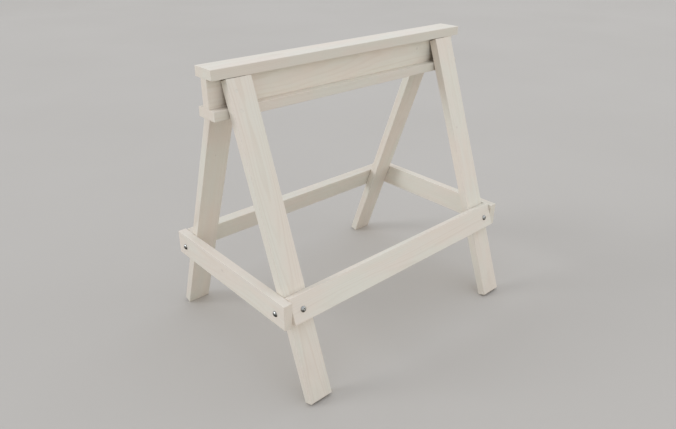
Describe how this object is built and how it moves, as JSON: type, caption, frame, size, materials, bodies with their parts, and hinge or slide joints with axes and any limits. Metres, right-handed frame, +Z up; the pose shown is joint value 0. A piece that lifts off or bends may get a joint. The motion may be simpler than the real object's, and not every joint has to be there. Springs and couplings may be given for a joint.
{
  "type": "sawhorse",
  "caption": "Fixed wooden trestle: I-section beam of three boards on splayed board legs, tied near the floor by long and end stretchers held with domed screws.",
  "frame": {"origin": "on the floor, under the middle of the beam", "axes": "+Z up; +X along the beam, to the right when the sawhorse is seen from its front; +Y from front to rear"},
  "size_m": [0.875, 0.6376, 0.81],
  "materials": {
    "limewashed_pine": "thin off-white wash over planed softwood, matt, faint grain",
    "zinc_plated_steel": "bright zinc plate, slightly dulled"
  },
  "bodies": {
    "root": {"cap_board": "limewashed_pine", "web_board": "limewashed_pine", "bottom_flange": "limewashed_pine", "leg_front_left": "limewashed_pine", "leg_front_right": "limewashed_pine", "leg_rear_left": "limewashed_pine", "leg_rear_right": "limewashed_pine", "stretcher_front": "limewashed_pine", "stretcher_rear": "limewashed_pine", "stretcher_left": "limewashed_pine", "stretcher_right": "limewashed_pine", "dome_screw_front_left": "zinc_plated_steel", "dome_screw_front_right": "zinc_plated_steel", "dome_screw_rear_left": "zinc_plated_steel", "dome_screw_rear_right": "zinc_plated_steel", "dome_screw_left_front": "zinc_plated_steel", "dome_screw_left_rear": "zinc_plated_steel", "dome_screw_right_front": "zinc_plated_steel", "dome_screw_right_rear": "zinc_plated_steel", "cap_screw_1": "zinc_plated_steel", "cap_screw_2": "zinc_plated_steel", "cap_screw_3": "zinc_plated_steel", "cap_screw_4": "zinc_plated_steel", "flange_screw_1": "zinc_plated_steel", "flange_screw_2": "zinc_plated_steel", "flange_screw_3": "zinc_plated_steel", "leg_screw_front_left_upper": "zinc_plated_steel", "leg_screw_front_left_lower": "zinc_plated_steel", "leg_screw_front_right_upper": "zinc_plated_steel", "leg_screw_front_right_lower": "zinc_plated_steel", "leg_screw_rear_left_upper": "zinc_plated_steel", "leg_screw_rear_left_lower": "zinc_plated_steel", "leg_screw_rear_right_upper": "zinc_plated_steel", "leg_screw_rear_right_lower": "zinc_plated_steel"}
  },
  "joints": []
}
